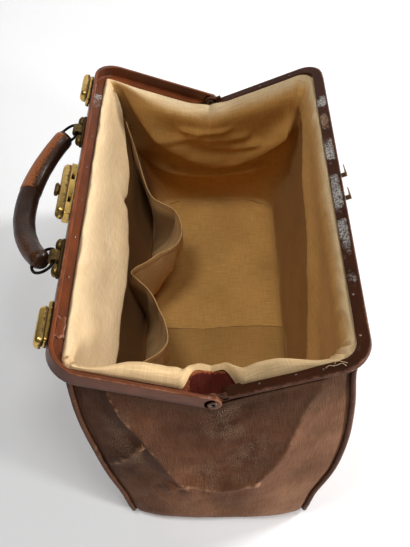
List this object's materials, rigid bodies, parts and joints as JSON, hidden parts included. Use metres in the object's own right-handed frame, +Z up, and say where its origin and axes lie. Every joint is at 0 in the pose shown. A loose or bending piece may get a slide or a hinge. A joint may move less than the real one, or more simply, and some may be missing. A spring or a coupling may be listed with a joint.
{
  "type": "leather frame-mouth travel bag",
  "caption": "Old leather travel bag standing open on its stiff hinged frame, with brass lock and catches, a carrying handle and a cotton lining with an inside pocket.",
  "frame": {"origin": "middle of the flat bottom, on the surface the bag stands on", "axes": "+Y along the bag from the near end to the far end, +Z up, -X the side with the lock and the handle"},
  "size_m": [0.3127, 0.4509, 0.2425],
  "materials": {
    "lock_frame_leather": "red-brown leather drawn over steel, worn along the edges",
    "hook_frame_leather": "dark brown leather drawn over steel, worn through in places",
    "body_leather": "dull brown grained leather, creased and dusty",
    "piping_leather": "dark brown leather welt",
    "patch_leather": "dark red worn leather",
    "lining_cotton": "tan plain-weave cotton, aged",
    "handle_leather": "dark brown leather, polished by the hand",
    "brass": "old brass, dulled in the corners",
    "dark_brass": "tarnished brass",
    "iron": "black iron wire"
  },
  "bodies": {
    "bag": {"lock_jaw": "lock_frame_leather", "hook_jaw": "hook_frame_leather", "gusset": "body_leather", "side_panel_left": "body_leather", "side_panel_right": "body_leather", "piping_left": "piping_leather", "piping_right": "piping_leather", "hinge_patch": "patch_leather", "lining": "lining_cotton", "pocket": "lining_cotton", "lock_plate": "brass", "lock_case": "brass", "hinge_rivet_near": "dark_brass", "handle_bracket_near": "dark_brass", "catch_plate_near": "brass", "lock_hook_near": "dark_brass", "hinge_rivet_far": "dark_brass", "handle_bracket_far": "dark_brass", "catch_plate_far": "brass", "lock_hook_far": "dark_brass"},
    "handle": {"handle": "handle_leather", "handle_ring_near": "iron", "handle_ring_far": "iron"},
    "lock_button": {"lock_button": "dark_brass"},
    "catch_slide_near": {"catch_slide_near": "brass"},
    "catch_slide_far": {"catch_slide_far": "brass"}
  },
  "joints": [
    {"name": "handle_swing", "type": "hinge", "parent": "bag", "child": "handle", "pos_m": [-0.13403, 0, 0.22693], "axis": [0, 1, 0], "range_deg": [0, 125]},
    {"name": "lock_button_slide", "type": "slide", "parent": "bag", "child": "lock_button", "axis": [0, 1, 0], "range_m": [0, 0.006]},
    {"name": "catch_slide_near_slide", "type": "slide", "parent": "bag", "child": "catch_slide_near", "axis": [0, 1, 0], "range_m": [0, 0.006]},
    {"name": "catch_slide_far_slide", "type": "slide", "parent": "bag", "child": "catch_slide_far", "axis": [0, -1, 0], "range_m": [0, 0.006]}
  ]
}
